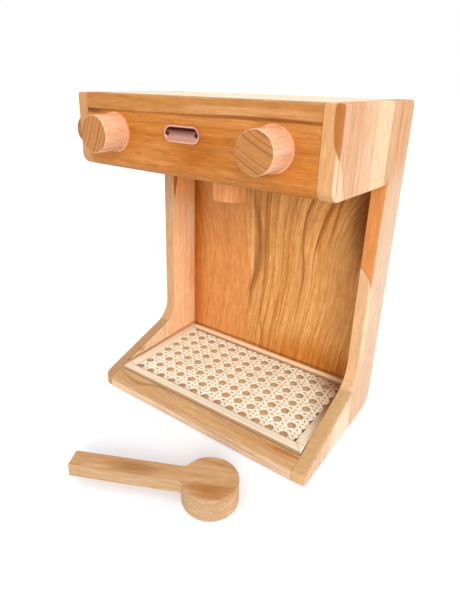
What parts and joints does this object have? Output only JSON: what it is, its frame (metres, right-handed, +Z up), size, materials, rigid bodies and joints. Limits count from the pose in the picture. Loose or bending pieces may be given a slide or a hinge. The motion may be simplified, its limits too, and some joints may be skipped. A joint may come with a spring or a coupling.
{
  "type": "toy coffee maker",
  "caption": "Child's wooden coffee maker: C-shaped teak case with turning knobs, a lift-out cane drip tray, a fixed group head and a loose wooden portafilter.",
  "frame": {"origin": "centre of the case's underside, on the surface that it stands on", "axes": "+X to the right seen from the front, +Y from the front to the back, +Z up"},
  "size_m": [0.273, 0.2631, 0.305],
  "materials": {
    "teak_side": "sanded and oiled",
    "teak_pale_stave": "sanded and oiled",
    "teak_fascia": "sanded and oiled",
    "teak_base": "sanded and oiled",
    "teak_back": "sanded and oiled",
    "teak_top": "sanded and oiled",
    "teak_turned": "turned and oiled",
    "hardwood_dowel": "plain dowel",
    "tray_wood": "planed, unfinished",
    "cane": "woven rattan cane, natural",
    "copper_plate": "polished copper",
    "dark_steel": "blackened steel",
    "bright_steel": "nickel plated",
    "teak_portafilter": "sanded and oiled"
  },
  "bodies": {
    "cabinet": {"left_head_front_stave": "teak_side", "left_head_middle_stave": "teak_pale_stave", "left_base_front_stave": "teak_side", "left_base_middle_stave": "teak_pale_stave", "left_column_stave": "teak_side", "right_head_front_stave": "teak_side", "right_head_middle_stave": "teak_pale_stave", "right_base_front_stave": "teak_side", "right_base_middle_stave": "teak_pale_stave", "right_column_stave": "teak_side", "fascia": "teak_fascia", "top_board": "teak_top", "head_floor": "teak_top", "base_board": "teak_base", "front_rail": "teak_base", "back_panel": "teak_back", "badge_plate": "copper_plate", "badge_nails": "dark_steel", "group_head": "teak_turned", "group_head_magnet": "bright_steel", "group_head_screw": "bright_steel", "case_dowels": "hardwood_dowel", "back_brads": "dark_steel"},
    "tray": {"tray_front_rail": "tray_wood", "tray_right_rail": "tray_wood", "tray_back_rail": "tray_wood", "tray_left_rail": "tray_wood", "cane_beads": "tray_wood", "cane_webbing": "cane"},
    "portafilter": {"portafilter": "teak_portafilter", "portafilter_magnet": "bright_steel"},
    "front_left_knob": {"front_left_knob": "teak_turned", "front_left_knob_washer": "teak_turned", "front_left_knob_axle": "hardwood_dowel", "front_left_knob_retainer": "hardwood_dowel"},
    "front_right_knob": {"front_right_knob": "teak_turned", "front_right_knob_washer": "teak_turned", "front_right_knob_axle": "hardwood_dowel", "front_right_knob_retainer": "hardwood_dowel"},
    "side_knob": {"side_knob": "teak_turned", "side_knob_washer": "teak_turned", "side_knob_axle": "hardwood_dowel", "side_knob_retainer": "hardwood_dowel"}
  },
  "joints": [
    {"name": "front_left_knob_turn", "type": "hinge", "parent": "cabinet", "child": "front_left_knob", "pos_m": [-0.077, -0.076, 0.274], "axis": [0, -1, 0], "continuous": true},
    {"name": "front_right_knob_turn", "type": "hinge", "parent": "cabinet", "child": "front_right_knob", "pos_m": [0.077, -0.076, 0.274], "axis": [0, -1, 0], "continuous": true},
    {"name": "side_knob_turn", "type": "hinge", "parent": "cabinet", "child": "side_knob", "pos_m": [-0.124, -0.0455, 0.2705], "axis": [-1, 0, 0], "continuous": true},
    {"name": "tray_lift", "type": "slide", "parent": "cabinet", "child": "tray", "axis": [0, 0, 1], "range_m": [0, 0.12]},
    {"name": "portafilter_lift", "type": "slide", "parent": "cabinet", "child": "portafilter", "axis": [0, 0, 1], "range_m": [0, 0.31]}
  ]
}
